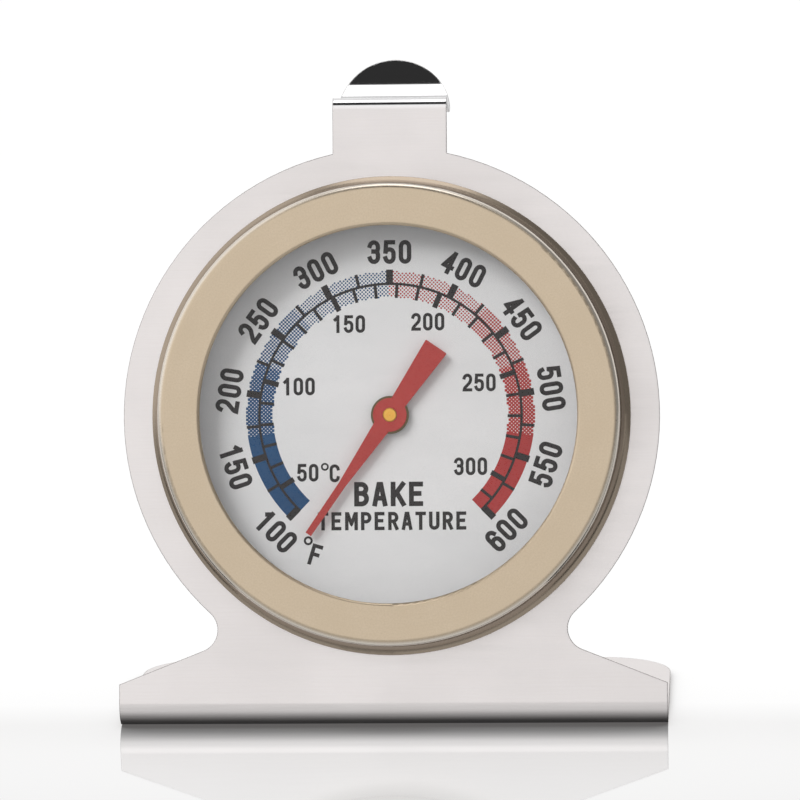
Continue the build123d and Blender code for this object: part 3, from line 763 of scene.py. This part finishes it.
# ---------------------------------------------------------------- world and lights
def build_world():
    """White to the camera; to other rays, a studio of soft cards."""
    world = bpy.data.worlds.new("studio")
    bpy.context.scene.world = world
    sky = Graph(world, "ShaderNodeOutputWorld")
    sky.ramp_kind = "SMOOTHSTEP"
    x, y, z = sky.separate(sky.node("ShaderNodeTexCoord").outputs["Generated"])

    # In front: bright from the horizon up and to the left, and dim to the right
    low = sky.ramp(z, over=(-0.14, 0.14), to=(0.40, 1))
    card = sky.ramp(x, over=(0.18, 0.50), to=(1.02, 0.27))
    # with a dark gap high in the middle, and a bright light overhead.
    off_middle = sky.ramp(sky.math("ABSOLUTE", sky.add(x, b=0.03)), over=(0.20, 0.42))
    middle = sky.math("SUBTRACT", 1.0, off_middle)
    high = sky.ramp(z, over=(0.58, 0.69))
    gap = sky.math("SUBTRACT", 1.0, sky.times(high, by=middle))
    overhead = sky.ramp(z, over=(0.940, 0.965), to=(0, 1.75))
    front = sky.times(sky.times(low, by=gap), by=card)
    front = sky.times(front, by=sky.ramp(y, over=(0.15, 0.50), to=(1, 0)))
    front = sky.math("MAXIMUM", sky.math("MAXIMUM", front, overhead), b=0.03)
    # Behind: white
    behind = sky.ramp(y, over=(0.10, 0.45), to=(0, 0.87))
    level = sky.math("MAXIMUM", front, behind)

    soft = sky.node("ShaderNodeBackground", Color=(1.0, 0.992, 0.988, 1),
                    Strength=sky.times(level, by=1.0))
    white = sky.node("ShaderNodeBackground", Color=(1.0, 1.0, 1.0, 1), Strength=1.05)
    sky.surface(sky.mix_shader(sky.is_camera_ray(), soft.outputs[0], white.outputs[0]))


def softbox(name, place, side, power):
    """A square area light aimed at the middle of the dial."""
    light = bpy.data.lights.new(name, "AREA")
    light.shape = "RECTANGLE"
    light.size = light.size_y = side
    light.energy = power
    box = bpy.data.objects.new(name, light)
    box.location = place
    box.rotation_mode = "QUATERNION"
    box.rotation_quaternion = (Vector(place) - AXIS_POINT).to_track_quat("Z", "Y")
    box.visible_glossy = False   # polished metal mirrors only the studio's cards
    bpy.context.scene.collection.objects.link(box)


# ---------------------------------------------------------------- camera
CAMERA_PLACE = (0.038491, -0.615733, 0.137806)
CAMERA_ANGLES = dict(yaw=-0.06195, pitch=-0.166664, roll=-0.017817)   # radians from +Y


def view_axes(yaw, pitch, roll):
    """The camera's right, up and forward directions."""
    forward = Vector((math.sin(yaw) * math.cos(pitch), math.cos(yaw) * math.cos(pitch),
                      math.sin(pitch)))
    right = forward.cross(Vector((0, 0, 1))).normalized()
    up = right.cross(forward)
    cos, sin = math.cos(roll), math.sin(roll)
    return right * cos + up * sin, up * cos - right * sin, forward


def build_camera():
    lens = bpy.data.cameras.new("camera")
    lens.sensor_width, lens.sensor_fit = 36.0, "HORIZONTAL"
    lens.lens = 247.329
    lens.clip_start, lens.clip_end = 0.01, 10.0
    camera = placed("camera", lens)
    right, up, forward = view_axes(**CAMERA_ANGLES)
    pose = Matrix((right, up, -forward)).transposed().to_4x4()
    pose.translation = CAMERA_PLACE
    camera.matrix_world = pose
    scene = bpy.context.scene
    scene.camera = camera
    scene.view_settings.view_transform = "Standard"
    scene.view_settings.look = "None"


apply_looks(build_print())
build_floor()
build_world()
softbox("key_softbox", place=(-0.42, -0.52, 0.62), side=0.42, power=6.1)
softbox("fill_softbox", place=(0.62, -0.35, 0.40), side=0.5, power=1.7)
build_camera()
